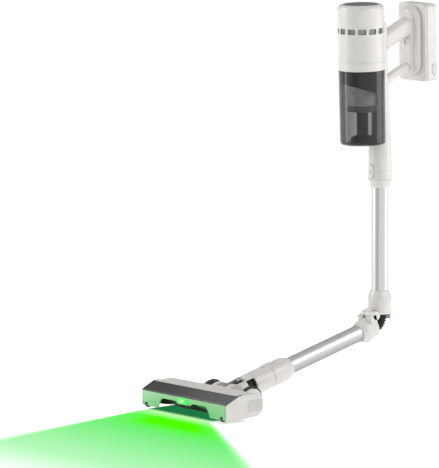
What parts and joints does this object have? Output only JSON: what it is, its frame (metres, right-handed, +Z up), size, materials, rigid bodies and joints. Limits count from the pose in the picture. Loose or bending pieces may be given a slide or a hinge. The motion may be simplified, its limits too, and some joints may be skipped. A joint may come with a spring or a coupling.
{
  "type": "cordless stick vacuum",
  "caption": "Cordless stick vacuum with a folding wand, a motorised lit floor head, a clear dust cup, a loop handle and a slide-off battery.",
  "frame": {"origin": "on the floor, under the middle of the whole vacuum as it stands folded", "axes": "+Z up, -Y forwards towards the floor head, +X towards the left side of the vacuum"},
  "size_m": [0.264, 0.6294, 0.7898],
  "materials": {
    "white_shell": "satin moulded ABS",
    "silver_tube": "satin anodised",
    "smoked_clear": "smoked polycarbonate",
    "smoked_window": "smoked polycarbonate",
    "black_plastic": "dark moulded",
    "black_rubber": "matt",
    "grey_plastic": "moulded",
    "steel": "turned",
    "lamp_green": "lit lens",
    "circuit_board": "lacquered",
    "cell_wrap": "shrink film",
    "filter_felt": "pleated felt"
  },
  "bodies": {
    "floor_head": {"head_shell": "white_shell", "head_window": "smoked_window", "end_cap_left": "white_shell", "end_cap_right": "white_shell", "lamp_lens": "lamp_green", "lamp_board": "circuit_board", "sole_wiper": "black_rubber", "brush_bearing_left": "steel", "brush_bearing_right": "steel", "brush_motor": "steel", "drive_belt": "black_rubber", "rear_carriage_left": "white_shell", "rear_carriage_right": "white_shell"},
    "brush": {"brush_roll": "black_plastic", "brush_pulley": "grey_plastic"},
    "pulley": {"motor_pulley": "grey_plastic"},
    "wheel_left": {"rear_wheel_left": "black_rubber"},
    "wheel_right": {"rear_wheel_right": "black_rubber"},
    "roller_left": {"front_roller_left": "grey_plastic"},
    "roller_right": {"front_roller_right": "grey_plastic"},
    "neck_base": {"neck_yoke": "white_shell", "neck_hose": "black_rubber"},
    "neck": {"neck_tube": "white_shell"},
    "head_button": {"head_release_button": "white_shell"},
    "lower_wand": {"lower_collar": "white_shell", "lower_tube": "silver_tube", "elbow_lower": "white_shell"},
    "elbow_button": {"elbow_lock_button": "grey_plastic"},
    "upper_wand": {"elbow_upper": "white_shell", "hinge_pin": "steel", "upper_tube": "silver_tube", "elbow_hose": "black_rubber"},
    "handheld": {"spine_duct": "white_shell", "socket_nose": "white_shell", "handle": "white_shell", "motor_housing": "white_shell", "display_lens": "black_plastic", "display_board": "circuit_board", "exhaust_grille": "grey_plastic", "exhaust_filter": "filter_felt", "fan_motor": "steel", "motor_seal": "black_rubber"},
    "wand_button": {"wand_release_button": "white_shell"},
    "trigger": {"power_trigger": "grey_plastic"},
    "fan": {"fan_impeller": "grey_plastic"},
    "cup": {"dust_cup": "smoked_clear", "cyclone_cover": "black_plastic", "cyclone_shroud": "smoked_clear", "cyclone_skirt": "black_plastic", "cyclone_cone": "black_plastic", "pre_filter": "filter_felt"},
    "battery": {"battery_case": "white_shell", "battery_front": "white_shell", "cell_row_upper": "cell_wrap", "cell_row_lower": "cell_wrap", "battery_board": "circuit_board"},
    "battery_catch_left": {"battery_button_left": "grey_plastic"},
    "battery_catch_right": {"battery_button_right": "grey_plastic"}
  },
  "joints": [
    {"name": "brush_spin", "type": "hinge", "parent": "floor_head", "child": "brush", "pos_m": [0, -0.2765, 0.029], "axis": [1, 0, 0], "continuous": true},
    {"name": "motor_spin", "type": "hinge", "parent": "floor_head", "child": "pulley", "pos_m": [0.116, -0.2355, 0.033], "axis": [1, 0, 0], "continuous": true},
    {"name": "wheel_spin_left", "type": "hinge", "parent": "floor_head", "child": "wheel_left", "pos_m": [0.059, -0.1865, 0.028], "axis": [1, 0, 0], "continuous": true},
    {"name": "wheel_spin_right", "type": "hinge", "parent": "floor_head", "child": "wheel_right", "pos_m": [-0.059, -0.1865, 0.028], "axis": [1, 0, 0], "continuous": true},
    {"name": "roller_spin_left", "type": "hinge", "parent": "floor_head", "child": "roller_left", "pos_m": [0.118, -0.3045, 0.0084], "axis": [1, 0, 0], "continuous": true},
    {"name": "roller_spin_right", "type": "hinge", "parent": "floor_head", "child": "roller_right", "pos_m": [-0.118, -0.3045, 0.0084], "axis": [1, 0, 0], "continuous": true},
    {"name": "neck_pitch", "type": "hinge", "parent": "floor_head", "child": "neck_base", "pos_m": [0, -0.1995, 0.0307], "axis": [1, 0, 0], "range_deg": [0, 74.7]},
    {"name": "neck_twist", "type": "hinge", "parent": "neck_base", "child": "neck", "pos_m": [0, -0.1995, 0.0307], "axis": [0, 0.9646, 0.2639], "range_deg": [-60, 60]},
    {"name": "head_button_press", "type": "slide", "parent": "neck", "child": "head_button", "axis": [0, 0.2639, -0.9646], "range_m": [0, 0.0015], "stiffness_N_per_m": 600, "springref_m": -0.001},
    {"name": "wand_pull", "type": "slide", "parent": "neck", "child": "lower_wand", "axis": [0, 0.9646, 0.2639], "range_m": [0, 0.028]},
    {"name": "elbow_button_press", "type": "slide", "parent": "lower_wand", "child": "elbow_button", "axis": [0, -0.2639, 0.9646], "range_m": [0, 0.0015], "stiffness_N_per_m": 600, "springref_m": -0.001},
    {"name": "elbow_fold", "type": "hinge", "parent": "lower_wand", "child": "upper_wand", "pos_m": [0, 0.1725, 0.1584], "axis": [-1, 0, 0], "range_deg": [-15.3, 74.7], "deforming": ["elbow_hose"]},
    {"name": "handheld_pull", "type": "slide", "parent": "upper_wand", "child": "handheld", "axis": [0, 0, 1], "range_m": [0, 0.038]},
    {"name": "wand_button_press", "type": "slide", "parent": "handheld", "child": "wand_button", "axis": [0, 1, 0], "range_m": [0, 0.0018], "stiffness_N_per_m": 600, "springref_m": -0.001},
    {"name": "trigger_press", "type": "slide", "parent": "handheld", "child": "trigger", "axis": [0, 0, 1], "range_m": [0, 0.0016], "stiffness_N_per_m": 600, "springref_m": -0.001},
    {"name": "fan_spin", "type": "hinge", "parent": "handheld", "child": "fan", "pos_m": [0, 0.14728, 0.68998], "axis": [0, -0.0244, 0.9997], "continuous": true},
    {"name": "cup_pull", "type": "slide", "parent": "handheld", "child": "cup", "axis": [0, -0.9997, -0.0244], "range_m": [0, 0.12]},
    {"name": "battery_pull", "type": "slide", "parent": "handheld", "child": "battery", "axis": [0, 0.9997, 0.0244], "range_m": [0, 0.04]},
    {"name": "battery_catch_left_press", "type": "slide", "parent": "battery", "child": "battery_catch_left", "axis": [-1, 0, 0], "range_m": [0, 0.0015], "stiffness_N_per_m": 600, "springref_m": -0.001},
    {"name": "battery_catch_right_press", "type": "slide", "parent": "battery", "child": "battery_catch_right", "axis": [1, 0, 0], "range_m": [0, 0.0015], "stiffness_N_per_m": 600, "springref_m": -0.001}
  ],
  "couplings": [
    {"joint": "motor_spin", "follows": "brush_spin", "ratio": 1.6}
  ]
}
